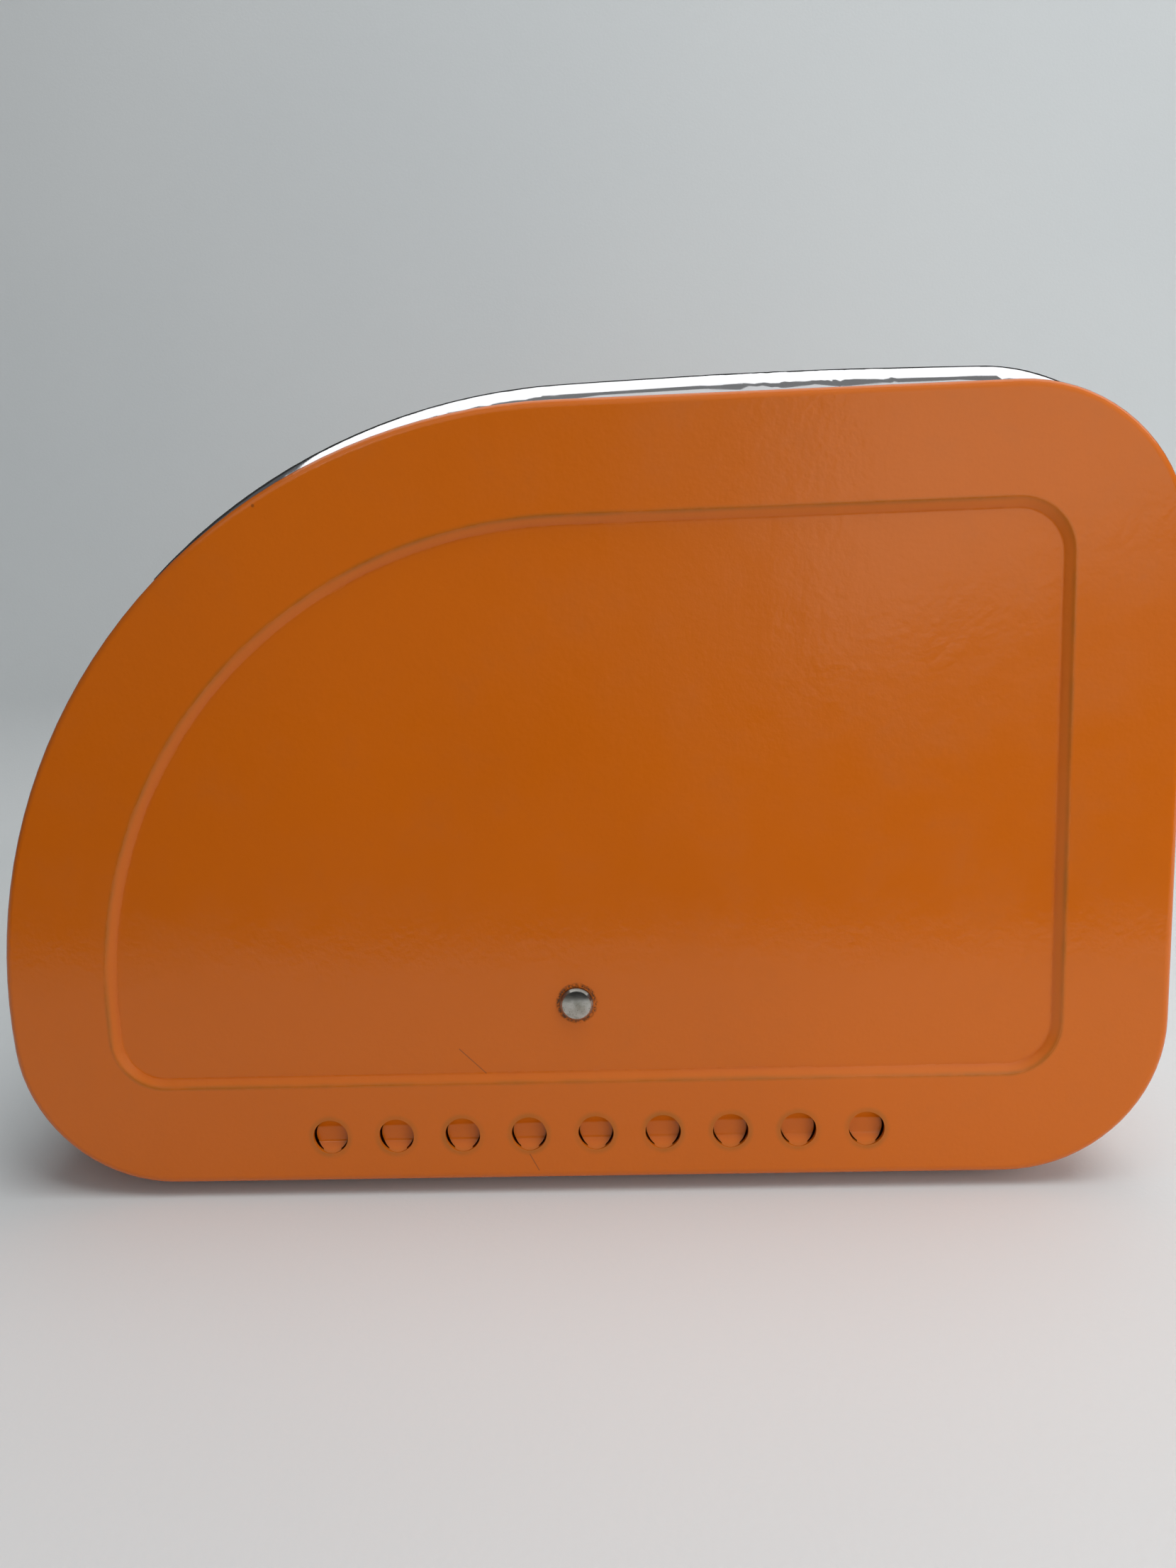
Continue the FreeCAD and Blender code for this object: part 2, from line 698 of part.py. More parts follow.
def make_lid_handle():
    height = handle_top - handle_bottom
    block = Part.makeBox(handle_length, handle_reach - lid_mid_radius + 10, height,
                         at(-handle_length / 2, -handle_reach, handle_bottom))
    front = pivot_y - handle_reach
    rounded = []
    for edge in block.Edges:
        box = edge.BoundBox
        on_front = box.YMax < front + 0.1
        top_end = box.ZMin > pivot_z + handle_top - 0.1 and box.XLength < 0.1
        on_bottom = box.ZMax < pivot_z + handle_bottom + 0.1
        if (on_front or top_end) and not on_bottom:
            rounded.append(edge)
    block = block.makeFillet(handle_rounding, rounded)
    block = block.cut(rod(at(-width, 0, 0), X_AXIS, lid_mid_radius, 2 * width))
    inner_back = lid_mid_radius + handle_wall
    corner = at(handle_wall - handle_length / 2, handle_wall - handle_reach, handle_bottom - handle_wall)
    cavity = Part.makeBox(handle_length - 2 * handle_wall, handle_reach - handle_wall - inner_back,
                          height, corner)
    ceiling = [edge for edge in cavity.Edges if edge.BoundBox.ZMin > pivot_z + handle_bottom]
    cavity = cavity.makeFillet(handle_rounding / 2, ceiling)
    block = block.cut(cavity)
    for hole in handle_screw_shanks(0):
        block = block.cut(hole)
    return block


def make_handle_screws():
    solids = []
    seat = lid_mid_radius - lid_sheet - 0.05
    for x, direction in handle_screw_lines():
        centre = Vector(x, pivot_y, pivot_z)
        head = rod(centre + direction * seat, direction * -1, 3.4, 1.8)
        rim = [edge for edge in head.Edges if (edge.CenterOfMass - centre).Length < seat - 1.5]
        head = head.makeFillet(0.9, [edge for edge in rim if edge.Closed])
        slot = Part.makeBox(0.8, 1.2, 8, Vector(-0.4, -0.2, -4))
        slot.rotate(Vector(0, 0, 0), X_AXIS, math.degrees(math.atan2(-direction.z, -direction.y)))
        slot.translate(centre + direction * (seat - 1.8))
        grip = lid_sheet + handle_wall - 0.8
        shank = rod(centre + direction * seat, direction, handle_screw_radius, grip)
        solids.append(head.cut(slot).fuse(shank))
    return Part.Compound(solids)


# --- build --------------------------------------------------------------------------
os.makedirs("parts", exist_ok=True)

save_pair("side_panel", make_side_panel())
save("hood", make_hood())
save("hood_edge_wire", make_hood_edge_wire())
save("base_tray", make_base_tray())
save("seam_rivets", make_seam_rivets())
for place, (x, y) in foot_places().items():
    save("foot_" + place, make_foot(x, y))
save("foot_rivets", make_foot_rivets())
save("sill_buffers", make_sill_buffers())
save_pair("pivot_rivet", make_pivot_rivet())
save_pair("pivot_spacer", make_pivot_spacer())
save_pair("pivot_washer", make_pivot_washer())
save("lid_shell", make_lid_shell())
save("lid_edge_wire", make_lid_edge_wire())
save_pair("lid_cheek", make_lid_cheek())
save_pair("cheek_bush", make_cheek_bush())
save_pair("cheek_rivets", make_cheek_rivets())
save("lid_handle", make_lid_handle())
save("handle_screws", make_handle_screws())
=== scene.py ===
"""A vintage roll-top bread bin: enamelled ends, a chromed hood and a chromed roll-top lid.

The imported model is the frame. Every finish here is worked out from object coordinates, which are
the frame's own metres, so a mark stays on its place when the lid turns.
"""
import math

import bpy
from mathutils import Matrix, Vector


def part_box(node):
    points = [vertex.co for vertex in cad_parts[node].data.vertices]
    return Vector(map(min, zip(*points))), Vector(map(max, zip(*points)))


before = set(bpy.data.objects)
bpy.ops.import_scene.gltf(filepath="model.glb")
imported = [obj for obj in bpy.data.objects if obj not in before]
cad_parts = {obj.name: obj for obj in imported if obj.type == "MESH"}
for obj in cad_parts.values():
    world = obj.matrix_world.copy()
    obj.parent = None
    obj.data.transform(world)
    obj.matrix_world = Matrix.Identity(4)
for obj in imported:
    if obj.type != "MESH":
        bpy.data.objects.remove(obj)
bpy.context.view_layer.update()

MM = 0.001

# Sizes taken from the frame
PANEL_LOW, PANEL_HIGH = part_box("side_panel_right")
RIVET_LOW, RIVET_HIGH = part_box("pivot_rivet_right")
PIVOT_Y = (RIVET_LOW.y + RIVET_HIGH.y) / 2
PIVOT_Z = (RIVET_LOW.z + RIVET_HIGH.z) / 2
FACE_X = PANEL_HIGH.x
SIDE_RADIUS = PANEL_HIGH.z - PIVOT_Z
PANEL_FOOT = PIVOT_Z - PANEL_LOW.z
CORNER_RADIUS = 36.5 * MM
FIELD_BORDER = 24.3 * MM
FIELD_STEP = 2.2 * MM

# Where the camera stands
CAMERA_BESIDE = 15.3 * MM      # towards the back, from the pivot
CAMERA_OUT = 248.4 * MM        # out from the plane of the end panel
CAMERA_ABOVE = 90.2 * MM       # above the pivot


# --- shader building ---

class Shader:
    """A Principled material and short calls for the nodes that build it."""

    def __init__(self, name):
        self.material = bpy.data.materials.new(name)
        self.material.use_nodes = True
        self.tree = self.material.node_tree
        self.surface = self.tree.nodes["Principled BSDF"]
        self.place = self.add("ShaderNodeTexCoord").outputs["Object"]
        split = self.add("ShaderNodeSeparateXYZ", Vector=self.place)
        self.x, self.y, self.z = split.outputs

    def add(self, kind, **inputs):
        node = self.tree.nodes.new(kind)
        for name, value in inputs.items():
            self.feed(node.inputs[name.replace("_", " ")], value)
        return node

    def feed(self, socket, value):
        if isinstance(value, bpy.types.NodeSocket):
            self.tree.links.new(value, socket)
        else:
            socket.default_value = value

    def math(self, operation, *values, clamp=False):
        node = self.tree.nodes.new("ShaderNodeMath")
        node.operation = operation
        node.use_clamp = clamp
        for socket, value in zip(node.inputs, values):
            self.feed(socket, value)
        return node.outputs[0]

    def noise(self, size, detail=2.0, rough=0.5, where=None, warp=0.0):
        """Noise between 0 and 1 with features about size metres across."""
        node = self.add("ShaderNodeTexNoise", Vector=where or self.place, Scale=1 / size,
                        Detail=detail, Roughness=rough, Distortion=warp)
        return node.outputs["Fac"]

    def cells(self, size, where=None):
        """Distance to the nearest of many scattered points, in units of size."""
        node = self.add("ShaderNodeTexVoronoi", Vector=where or self.place, Scale=1 / size)
        return node.outputs["Distance"]

    def stretched(self, sx, sy, sz):
        node = self.add("ShaderNodeMapping", Vector=self.place, Scale=(sx, sy, sz))
        return node.outputs[0]

    def span(self, value, low, high, out_low=0.0, out_high=1.0):
        """value from low..high carried to out_low..out_high, with soft ends."""
        node = self.add("ShaderNodeMapRange", Value=value)
        node.interpolation_type = "SMOOTHSTEP"
        for name, number in (("From Min", low), ("From Max", high),
                             ("To Min", out_low), ("To Max", out_high)):
            self.feed(node.inputs[name], number)
        return node.outputs[0]

    def band(self, value, centre, half_width):
        """1 where value is at centre, falling softly to 0 at half_width from it."""
        away = self.math("ABSOLUTE", self.math("SUBTRACT", value, centre))
        return self.span(away, 0.0, half_width, 1.0, 0.0)

    def mix(self, share, first, second):
        node = self.tree.nodes.new("ShaderNodeMix")
        node.data_type = "RGBA"
        for socket, value in zip((node.inputs[0], node.inputs[6], node.inputs[7]),
                                 (share, first, second)):
            self.feed(socket, value)
        return node.outputs[2]

    def spot(self, y, z, radius):
        """A soft round spot y, z from the pivot on either end panel."""
        dy = self.math("SUBTRACT", self.y, PIVOT_Y + y)
        dz = self.math("SUBTRACT", self.z, PIVOT_Z + z)
        away = self.math("SQRT", self.math("ADD", self.math("MULTIPLY", dy, dy),
                                           self.math("MULTIPLY", dz, dz)))
        return self.span(away, radius * 0.4, radius, 1.0, 0.0)

    def stroke(self, y0, z0, y1, z1, width):
        """A thin line between two points given from the pivot."""
        ly, lz = y1 - y0, z1 - z0
        length = ly * ly + lz * lz
        dy = self.math("SUBTRACT", self.y, PIVOT_Y + y0)
        dz = self.math("SUBTRACT", self.z, PIVOT_Z + z0)
        dot = self.math("ADD", self.math("MULTIPLY", dy, ly), self.math("MULTIPLY", dz, lz))
        share = self.math("DIVIDE", dot, length, clamp=True)
        ey = self.math("SUBTRACT", dy, self.math("MULTIPLY", share, ly))
        ez = self.math("SUBTRACT", dz, self.math("MULTIPLY", share, lz))
        away = self.math("SQRT", self.math("ADD", self.math("MULTIPLY", ey, ey),
                                           self.math("MULTIPLY", ez, ez)))
        return self.span(away, width * 0.3, width, 1.0, 0.0)

    def bump(self, height, depth, strength=1.0, under=None):
        """Relief of depth metres from a height between 0 and 1."""
        node = self.add("ShaderNodeBump", Height=height, Distance=depth, Strength=strength)
        if under is not None:
            self.feed(node.inputs["Normal"], under)
        return node.outputs[0]

    def finish(self, color, roughness, normal=None, metallic=0.0, specular=0.5):
        self.feed(self.surface.inputs["Base Color"], color)
        self.feed(self.surface.inputs["Roughness"], roughness)
        self.surface.inputs["Metallic"].default_value = metallic
        self.surface.inputs["Specular IOR Level"].default_value = specular
        if normal is not None:
            self.feed(self.surface.inputs["Normal"], normal)
        return self.material


# --- finishes ---

ORANGE = (0.600, 0.127, 0.0030, 1)
ORANGE_DEEP = (0.555, 0.116, 0.0028, 1)
# the smudge orange also paints shade on the pressed step; the olive and the red paint shade along the
# step's creases, and the olive also rings the vents
ORANGE_SMUDGE_AND_SHADE = (0.520, 0.118, 0.0075, 1)
OLIVE_DARK = (0.20, 0.095, 0.012, 1)
RED_LINE = (0.46, 0.070, 0.006, 1)
DARK_MARK = (0.035, 0.022, 0.012, 1)

VENT_COUNT = 9
VENT_PITCH = 15.8 * MM
VENT_ROW_Y = 3.4 * MM
VENT_ROW_Z = -31.6 * MM
VENT_RADIUS = 4.15 * MM
RIVET_RADIUS = 3.87 * MM


def inset_depth(s):
    """How far a point on an end panel lies in from the panel's outline, in metres."""
    y = s.math("SUBTRACT", s.y, PIVOT_Y)
    z = s.math("SUBTRACT", s.z, PIVOT_Z)
    middle_z = (SIDE_RADIUS - PANEL_FOOT) / 2
    half_z = (SIDE_RADIUS + PANEL_FOOT) / 2
    qy = s.math("SUBTRACT", s.math("ABSOLUTE", y), SIDE_RADIUS - CORNER_RADIUS)
    qz = s.math("SUBTRACT", s.math("ABSOLUTE", s.math("SUBTRACT", z, middle_z)),
                half_z - CORNER_RADIUS)
    out_y = s.math("MAXIMUM", qy, 0.0)
    out_z = s.math("MAXIMUM", qz, 0.0)
    corner = s.math("SQRT", s.math("ADD", s.math("MULTIPLY", out_y, out_y),
                                   s.math("MULTIPLY", out_z, out_z)))
    inner = s.math("MINIMUM", s.math("MAXIMUM", qy, qz), 0.0)
    in_box = s.math("SUBTRACT", CORNER_RADIUS, s.math("ADD", corner, inner))
    from_pivot = s.math("SQRT", s.math("ADD", s.math("MULTIPLY", y, y), s.math("MULTIPLY", z, z)))
    in_arc = s.math("SUBTRACT", SIDE_RADIUS, from_pivot)
    front = s.math("LESS_THAN", y, 0.0)
    upper = s.math("GREATER_THAN", z, 0.0)
    on_arc = s.math("MULTIPLY", front, upper)
    arc_part = s.math("MULTIPLY", in_arc, on_arc)
    box_part = s.math("MULTIPLY", in_box, s.math("SUBTRACT", 1.0, on_arc))
    return s.math("ADD", arc_part, box_part), from_pivot


def from_vents(s):
    """Distance from the middle of the nearest vent in the row."""
    along = s.math("SUBTRACT", s.y, PIVOT_Y + VENT_ROW_Y)
    away_y = s.math("WRAP", along, VENT_PITCH / 2, -VENT_PITCH / 2)
    away_z = s.math("SUBTRACT", s.z, PIVOT_Z + VENT_ROW_Z)
    away = s.math("SQRT", s.math("ADD", s.math("MULTIPLY", away_y, away_y),
                                 s.math("MULTIPLY", away_z, away_z)))
    beyond = s.math("GREATER_THAN", s.math("ABSOLUTE", along), VENT_COUNT / 2 * VENT_PITCH)
    return s.math("ADD", away, beyond)


def panel_marks(s, color):
    """A few marks that only the right-hand panel has, each placed by a feature near it."""
    on_panel = s.math("GREATER_THAN", s.x, FACE_X - 4 * MM)
    # a dark speck just inside the front arc, two thirds of the way up it
    reach, angle = SIDE_RADIUS - 2 * MM, math.radians(60)
    speck = s.spot(-reach * math.cos(angle), reach * math.sin(angle), 0.5 * MM)
    # a hairline that runs down from the foot of the fourth vent
    foot_y, foot_z = VENT_ROW_Y - VENT_PITCH, VENT_ROW_Z - VENT_RADIUS
    hairline = s.stroke(foot_y, foot_z - 1 * MM, foot_y + 2 * MM, foot_z - 5 * MM, 0.2 * MM)
    # a short scratch just above the lower step, in front of the rivet
    low = FIELD_BORDER + FIELD_STEP - PANEL_FOOT
    scratch = s.stroke(-28 * MM, low + 6 * MM, -22 * MM, low, 0.2 * MM)
    for mark in (speck, hairline, scratch):
        color = s.mix(s.math("MULTIPLY", s.math("MULTIPLY", mark, on_panel), 0.5), color, DARK_MARK)
    return color


def orange_enamel():
    s = Shader("orange_enamel")
    inset, from_pivot = inset_depth(s)

    # the stove enamel itself: broad clouds, then faint handling smudges
    clouds = s.noise(120 * MM, detail=2.0)
    color = s.mix(s.span(clouds, 0.35, 0.65, 0.0, 0.8), ORANGE, ORANGE_DEEP)
    smudge = s.noise(17 * MM, detail=6.0, rough=0.68)
    color = s.mix(s.span(smudge, 0.50, 0.80, 0.0, 0.35), color, ORANGE_SMUDGE_AND_SHADE)

    # painted shade in the pressed step: the whole band a little darker, a dark olive line along its
    # outer crease and a red line along its inner crease, both patchy; the step is also duller than the
    # flats
    uneven = s.span(s.noise(11 * MM, detail=4.0, rough=0.6), 0.3, 0.7, 0.35, 1.0)
    outer = s.band(inset, FIELD_BORDER + 0.1 * MM, 0.9 * MM)
    inner = s.band(inset, FIELD_BORDER + FIELD_STEP - 0.1 * MM, 0.9 * MM)
    step = s.band(inset, FIELD_BORDER + FIELD_STEP / 2, FIELD_STEP)
    color = s.mix(s.math("MULTIPLY", step, 0.30), color, ORANGE_SMUDGE_AND_SHADE)
    color = s.mix(s.math("MULTIPLY", s.math("MULTIPLY", outer, uneven), 0.45), color, OLIVE_DARK)
    color = s.mix(s.math("MULTIPLY", s.math("MULTIPLY", inner, uneven), 0.30), color, RED_LINE)

    # a darker olive ring round each vent, patchy with noise, and dirt in the cracked paint round the
    # rivet
    halo = s.band(from_vents(s), VENT_RADIUS + 0.3 * MM, 1.3 * MM)
    color = s.mix(s.math("MULTIPLY", s.math("MULTIPLY", halo, uneven), 0.45), color, OLIVE_DARK)
    cracks = s.span(s.noise(0.8 * MM, detail=4.0, rough=0.7), 0.42, 0.58)
    ring = s.band(from_pivot, RIVET_RADIUS + 0.45 * MM, 0.75 * MM)
    color = s.mix(s.math("MULTIPLY", s.math("MULTIPLY", ring, cracks), 0.9), color, DARK_MARK)

    # scattered pin specks
    speck = s.span(s.cells(46 * MM), 0.006, 0.013, 1.0, 0.0)
    color = s.mix(s.math("MULTIPLY", speck, 0.6), color, DARK_MARK)
    color = panel_marks(s, color)

    # orange peel under the gloss, and the slight waviness of pressed sheet
    peel = s.noise(1.7 * MM, detail=2.0, rough=0.6)
    creep = s.noise(6 * MM, detail=3.0, rough=0.55)
    wave = s.noise(48 * MM, detail=1.0)
    relief = s.bump(wave, 0.22 * MM)
    relief = s.bump(creep, 0.08 * MM, under=relief)
    relief = s.bump(peel, 0.045 * MM, under=relief)
    relief = s.bump(s.math("SUBTRACT", 1.0, s.math("MULTIPLY", ring, cracks)), 0.08 * MM, under=relief)
    gloss = s.math("ADD", s.span(smudge, 0.3, 0.8, 0.14, 0.25), s.math("MULTIPLY", step, 0.22))
    s.surface.inputs["Specular Tint"].default_value = (1.0, 0.93, 0.76, 1)
    return s.finish(color, gloss, relief)


def polished_chrome():
    s = Shader("polished_chrome")
    film = s.noise(30 * MM, detail=5.0, rough=0.6, warp=0.8)
    color = s.mix(s.span(film, 0.45, 0.8), (0.80, 0.81, 0.83, 1), (0.68, 0.69, 0.70, 1))
    pits = s.span(s.cells(9 * MM), 0.02, 0.05, 1.0, 0.0)
    color = s.mix(s.math("MULTIPLY", pits, 0.6), color, (0.22, 0.19, 0.16, 1))
    rough = s.math("ADD", s.span(film, 0.35, 0.8, 0.05, 0.16), s.math("MULTIPLY", pits, 0.3))
    wave = s.noise(45 * MM, detail=1.0)
    hairlines = s.noise(0.5 * MM, detail=2.0, where=s.stretched(0.04, 1.0, 1.0))
    relief = s.bump(wave, 0.05 * MM)
    relief = s.bump(hairlines, 0.0012 * MM, under=relief)
    return s.finish(color, rough, relief, metallic=1.0)


def metal(name, light, dark, rough, grain=0.8 * MM, pitted=0.0, along=(1.0, 1.0, 1.0)):
    """A satin or drawn steel: grain along one way, pits and a duller film in patches."""
    s = Shader(name)
    film = s.noise(7 * MM, detail=5.0, rough=0.6)
    color = s.mix(s.span(film, 0.35, 0.7), light, dark)
    pits = s.span(s.cells(1.1 * MM), 0.10, 0.22, 1.0, 0.0)
    holes = s.math("MULTIPLY", pits, s.span(s.noise(3 * MM), 0.45, 0.6, 0.0, pitted))
    color = s.mix(holes, color, (0.10, 0.085, 0.07, 1))
    fine = s.noise(grain, detail=3.0, where=s.stretched(*along))
    relief = s.bump(fine, 0.01 * MM)
    relief = s.bump(s.math("SUBTRACT", 1.0, holes), 0.04 * MM, under=relief)
    gloss = s.math("ADD", s.span(fine, 0.3, 0.7, rough - 0.06, rough + 0.08),
                   s.math("MULTIPLY", holes, 0.25))
    return s.finish(color, gloss, relief, metallic=1.0)


def plastic(name, light, dark, rough, grain, depth, specular=0.5):
    """Moulded plastic or rubber with a fine surface texture and wiped patches."""
    s = Shader(name)
    film = s.noise(14 * MM, detail=4.0, rough=0.6, warp=0.5)
    color = s.mix(s.span(film, 0.35, 0.7), light, dark)
    dust = s.span(s.cells(4 * MM), 0.03, 0.07, 0.5, 0.0)
    color = s.mix(dust, color, (0.30, 0.28, 0.25, 1))
    texture = s.noise(grain, detail=3.0)
    gloss = s.span(film, 0.3, 0.75, rough - 0.05, rough + 0.1)
    return s.finish(color, gloss, s.bump(texture, depth), specular=specular)


def rivet_steel():
    """Turned steel, very slightly domed, with its lower half pitted and dulled."""
    s = Shader("rivet_steel")
    from_pivot = inset_depth(s)[1]
    dome = s.math("DIVIDE", from_pivot, RIVET_RADIUS, clamp=True)
    dome = s.math("SUBTRACT", 1.0, s.math("MULTIPLY", dome, dome))
    lower = s.span(s.math("SUBTRACT", s.z, PIVOT_Z), 1.2 * MM, -1.6 * MM)
    film = s.noise(3 * MM, detail=5.0, rough=0.65)
    color = s.mix(s.span(film, 0.35, 0.7), (0.50, 0.49, 0.45, 1), (0.34, 0.33, 0.28, 1))
    pits = s.span(s.cells(0.42 * MM), 0.16, 0.30, 1.0, 0.0)
    patch = s.span(s.noise(0.9 * MM, detail=2.0), 0.42, 0.60)
    holes = s.math("MULTIPLY", s.math("MULTIPLY", pits, patch), s.math("MULTIPLY", lower, 0.9))
    color = s.mix(holes, color, (0.06, 0.05, 0.04, 1))
    rim = s.band(from_pivot, RIVET_RADIUS, 0.35 * MM)
    color = s.mix(s.math("MULTIPLY", rim, 0.6), color, (0.10, 0.075, 0.05, 1))
    relief = s.bump(dome, 0.32 * MM)
    relief = s.bump(s.math("SUBTRACT", 1.0, holes), 0.03 * MM, under=relief)
    gloss = s.math("ADD", s.span(film, 0.3, 0.7, 0.15, 0.24), s.math("MULTIPLY", lower, 0.12))
    return s.finish(color, gloss, relief, metallic=1.0)


FINISHES = {
    "orange_enamel": orange_enamel(),
    "polished_chrome": polished_chrome(),
    "steel_wire": metal("steel_wire", (0.60, 0.60, 0.59, 1), (0.44, 0.43, 0.41, 1), 0.25,
                        grain=0.4 * MM, along=(0.05, 1.0, 1.0)),
    "satin_steel": metal("satin_steel", (0.66, 0.66, 0.65, 1), (0.52, 0.52, 0.50, 1), 0.36,
                         grain=0.6 * MM, pitted=0.3, along=(1.0, 0.06, 1.0)),
    "rivet_steel": rivet_steel(),
    "screw_steel": metal("screw_steel", (0.64, 0.63, 0.60, 1), (0.50, 0.48, 0.42, 1), 0.28,
                         pitted=0.4),
    "nylon": plastic("nylon", (0.80, 0.77, 0.68, 1), (0.72, 0.67, 0.55, 1), 0.45,
                     0.9 * MM, 0.02 * MM),
    "dark_plastic": plastic("dark_plastic", (0.030, 0.020, 0.015, 1), (0.045, 0.032, 0.024, 1),
                            0.22, 1.2 * MM, 0.008 * MM),
    "foot_plastic": plastic("foot_plastic", (0.045, 0.040, 0.036, 1), (0.075, 0.068, 0.06, 1),
                            0.55, 0.5 * MM, 0.03 * MM),
    "buffer_rubber": plastic("buffer_rubber", (0.10, 0.095, 0.09, 1), (0.16, 0.15, 0.14, 1),
                             0.75, 0.4 * MM, 0.03 * MM, specular=0.3),
}

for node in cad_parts.values():
    for place in node.material_slots:
        place.material = FINISHES[place.material.name.split(".")[0]]


# --- stage ---

FLOOR_FRONT, WALL_X = 0.60, -0.34
SWEEP_RADIUS = 0.09
STAGE_HALF_WIDTH = 2.2
WALL_HEIGHT = 0.62


def stage_paper():
    """Matt white paper with a faint tooth, seen from its front only."""
    s = Shader("stage_paper")
    tone = s.noise(0.35, detail=3.0)
    color = s.mix(s.span(tone, 0.3, 0.7), (0.715, 0.742, 0.745, 1), (0.690, 0.722, 0.730, 1))
    tooth = s.noise(1.4 * MM, detail=3.0)
    paper = s.finish(color, 0.75, s.bump(tooth, 0.05 * MM), specular=0.3)
    behind = s.add("ShaderNodeNewGeometry").outputs["Backfacing"]
    clear = s.add("ShaderNodeBsdfTransparent").outputs[0]
    sheet = s.add("ShaderNodeMixShader", Fac=behind).outputs[0]
    s.feed(sheet.node.inputs[1], s.surface.outputs[0])
    s.feed(sheet.node.inputs[2], clear)
    s.feed(s.tree.nodes["Material Output"].inputs["Surface"], sheet)
    return paper


def backdrop():
    """One sheet: the floor, a swept corner and the wall."""
    profile = [(FLOOR_FRONT, 0.0), (WALL_X + SWEEP_RADIUS, 0.0)]
    steps = 16
    for i in range(1, steps + 1):
        angle = math.pi / 2 * i / steps
        profile.append((WALL_X + SWEEP_RADIUS * (1 - math.sin(angle)),
                        SWEEP_RADIUS * (1 - math.cos(angle))))
    profile.append((WALL_X, WALL_HEIGHT))
    points = [(x, side * STAGE_HALF_WIDTH, z) for x, z in profile for side in (-1, 1)]
    faces = [(2 * i, 2 * i + 1, 2 * i + 3, 2 * i + 2) for i in range(len(profile) - 1)]
    mesh = bpy.data.meshes.new("stage_backdrop")
    mesh.from_pydata(points, [], faces)
    mesh.shade_smooth()
    sheet = bpy.data.objects.new("stage_backdrop", mesh)
    sheet.data.materials.append(stage_paper())
    bpy.context.scene.collection.objects.link(sheet)


backdrop()


# --- light ---

def soft_light(name, place, target, size, watts):
    """A light that shows in no reflection; the cards below are what the chrome and enamel mirror."""
    lamp = bpy.data.lights.new(name, "AREA")
    lamp.shape = "RECTANGLE"
    lamp.size, lamp.size_y = size
    lamp.energy = watts
    holder = bpy.data.objects.new(name, lamp)
    holder.location = place
    holder.rotation_euler = (Vector(target) - Vector(place)).to_track_quat("-Z", "Y").to_euler()
    holder.visible_glossy = False
    bpy.context.scene.collection.objects.link(holder)


def mirrored_card(name, corners, level, color=(1, 1, 1)):
    """A glowing sheet met by reflections only; a level of 1 looks like brightly lit paper."""
    mesh = bpy.data.meshes.new(name)
    mesh.from_pydata(corners, [], [tuple(range(len(corners)))])
    card = bpy.data.objects.new(name, mesh)
    shade = Shader(name)
    shade.surface.inputs["Emission Color"].default_value = (*color, 1)
    shade.surface.inputs["Emission Strength"].default_value = level
    card.data.materials.append(shade.finish((0, 0, 0, 1), 1.0, specular=0.0))
    card.visible_camera = card.visible_diffuse = card.visible_shadow = False
    bpy.context.scene.collection.objects.link(card)


def level_card(name, x_range, y_range, z, level):
    (x0, x1), (y0, y1) = x_range, y_range
    mirrored_card(name, [(x0, y0, z), (x1, y0, z), (x1, y1, z), (x0, y1, z)], level)


soft_light("ceiling", (0.38, 0.50, 1.6), (0.15, 0.05, 0.0), (1.3, 1.2), 19)
soft_light("side_fill", (0.95, 1.6, 0.9), (0.1, 0.0, 0.1), (1.2, 1.0), 7)
soft_light("front_fill", (0.76, 0.36, 0.21), (0.18, 0.03, 0.03), (0.7, 0.3), 1.9)

OVERHEAD = 0.8
level_card("overhead_bright", (-0.56, 0.27), (-0.53, 1.3), OVERHEAD, 1.3)
level_card("overhead_front", (0.27, 0.40), (-0.9, 1.3), OVERHEAD, 0.2)
level_card("overhead_far", (0.40, 1.6), (-0.9, 1.6), OVERHEAD, 0.75)
level_card("floor_shade", (0.376, 1.6), (-1.6, 1.6), 0.5 * MM, 0.02)
BACK_X, BACK_LOW, BACK_REACH = WALL_X + 10 * MM, 0.25, 1.0
mirrored_card("back_dark", [(BACK_X, -BACK_REACH, BACK_LOW), (BACK_X, BACK_REACH, BACK_LOW),
                            (BACK_X, BACK_REACH, WALL_HEIGHT), (BACK_X, -BACK_REACH, WALL_HEIGHT)],
              0.03)

# the window and the lamp stand where the end panel mirrors them towards the viewer
MIRRORED_EYE = Vector((FACE_X - CAMERA_OUT, PIVOT_Y + CAMERA_BESIDE, PIVOT_Z + CAMERA_ABOVE))


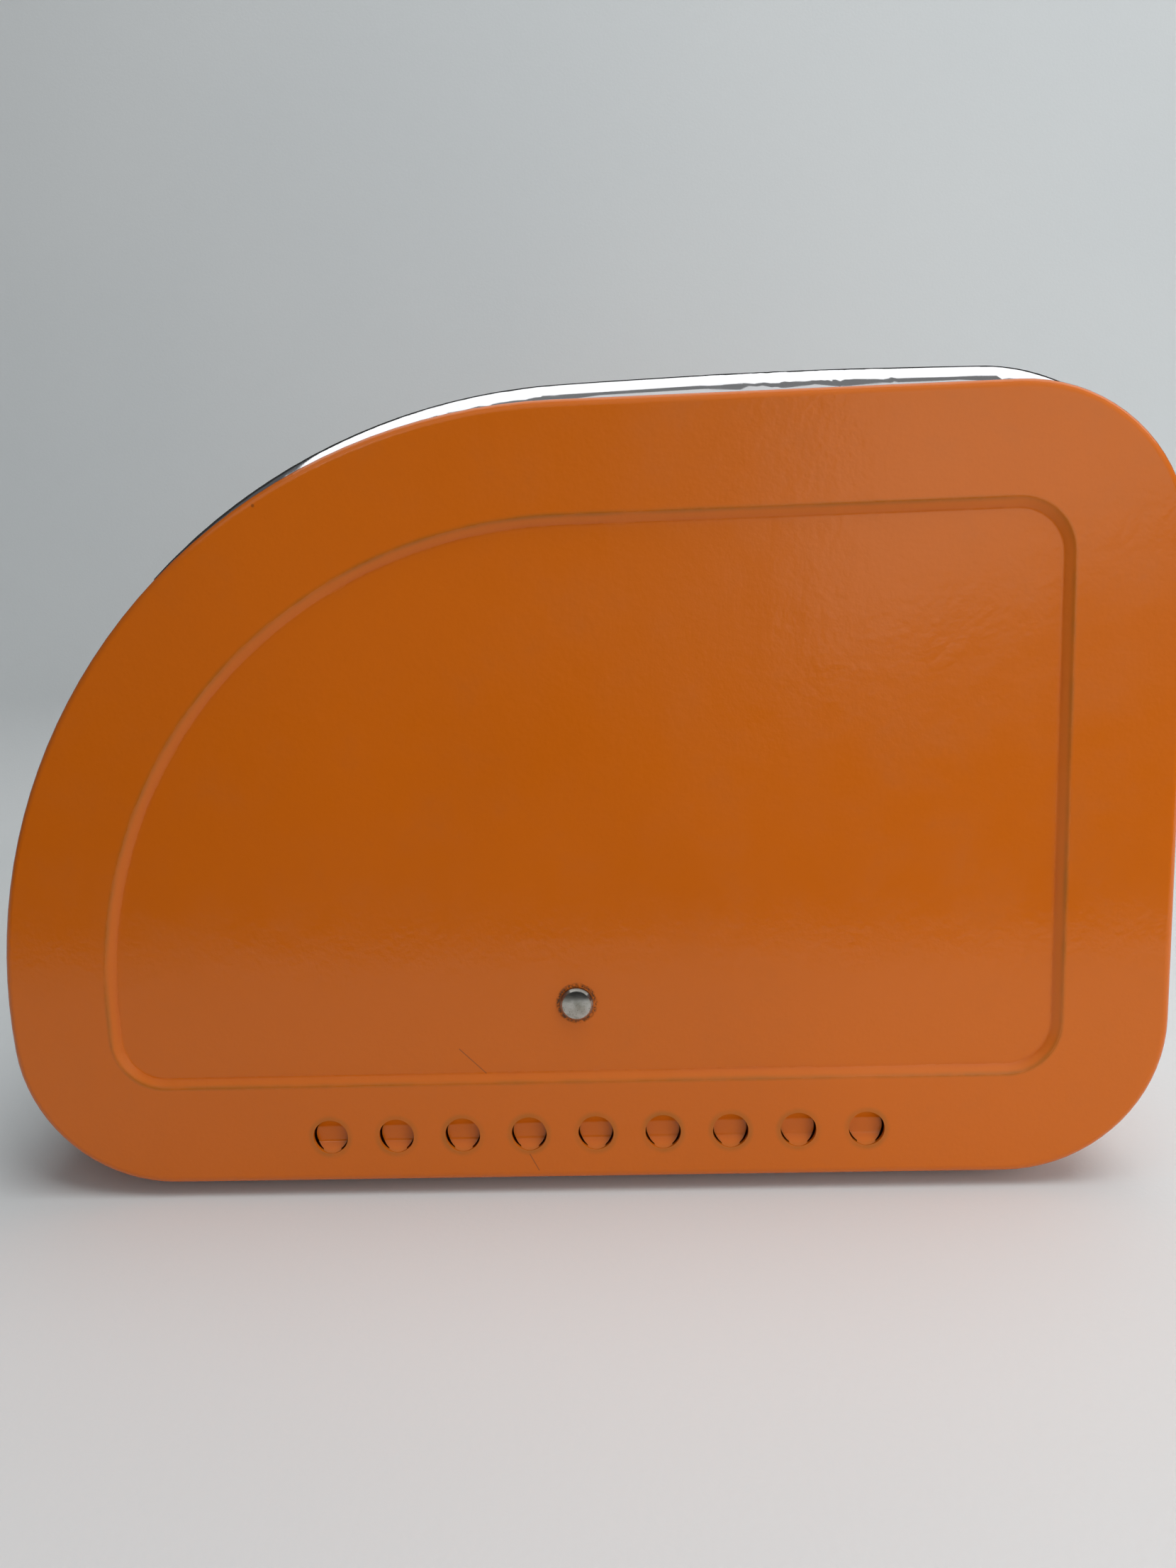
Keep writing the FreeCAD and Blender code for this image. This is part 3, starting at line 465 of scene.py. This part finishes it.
def seen_in_panel(azimuth, elevation, out):
    """The point out metres in front of the panel that it mirrors at these two angles."""
    reach = out + FACE_X - MIRRORED_EYE.x
    return (FACE_X + out, MIRRORED_EYE.y + reach * math.tan(math.radians(azimuth)),
            MIRRORED_EYE.z + reach * math.tan(math.radians(elevation)))


def panel_card(name, angles, out, level, color=(1, 1, 1)):
    mirrored_card(name, [seen_in_panel(a, e, out) for a, e in angles], level, color)


panel_card("window", [(9, -4), (33, 8), (33, 36), (9, 36)], 1.0, 1.0, (0.93, 0.97, 1.0))
panel_card("lamp", [(-22, 23), (-18, 23), (-18, 27), (-22, 27)], 1.2, 9.0)

world = bpy.data.worlds.new("room")
bpy.context.scene.world = world
world.use_nodes = True
world.node_tree.nodes["Background"].inputs["Color"].default_value = (0.80, 0.84, 0.90, 1)
world.node_tree.nodes["Background"].inputs["Strength"].default_value = 0.11


# --- camera ---

CAMERA_YAW = math.radians(-2.49)
CAMERA_PITCH = math.radians(8.83)
CAMERA_ROLL = math.radians(2.08)
FOCAL_SHARE = 0.7160           # focal length as a share of the picture's long side
SENSOR = 36.0

camera = bpy.data.cameras.new("camera")
camera.sensor_width = SENSOR
camera.lens = SENSOR * FOCAL_SHARE
camera.clip_start = 0.01
view = bpy.data.objects.new("camera", camera)
flat = math.cos(CAMERA_PITCH)
ahead = Vector((-math.cos(CAMERA_YAW) * flat, math.sin(CAMERA_YAW) * flat, -math.sin(CAMERA_PITCH)))
right = Vector((math.sin(CAMERA_YAW), math.cos(CAMERA_YAW), 0.0))
up = right.cross(ahead)
tilted_right = right * math.cos(CAMERA_ROLL) - up * math.sin(CAMERA_ROLL)
tilted_up = up * math.cos(CAMERA_ROLL) + right * math.sin(CAMERA_ROLL)
turn = Matrix((tilted_right, tilted_up, -ahead)).transposed()
spot = Vector((FACE_X + CAMERA_OUT, PIVOT_Y + CAMERA_BESIDE, PIVOT_Z + CAMERA_ABOVE))
view.matrix_world = Matrix.Translation(spot) @ turn.to_4x4()
bpy.context.scene.collection.objects.link(view)
bpy.context.scene.camera = view

bpy.context.scene.view_settings.view_transform = "Standard"
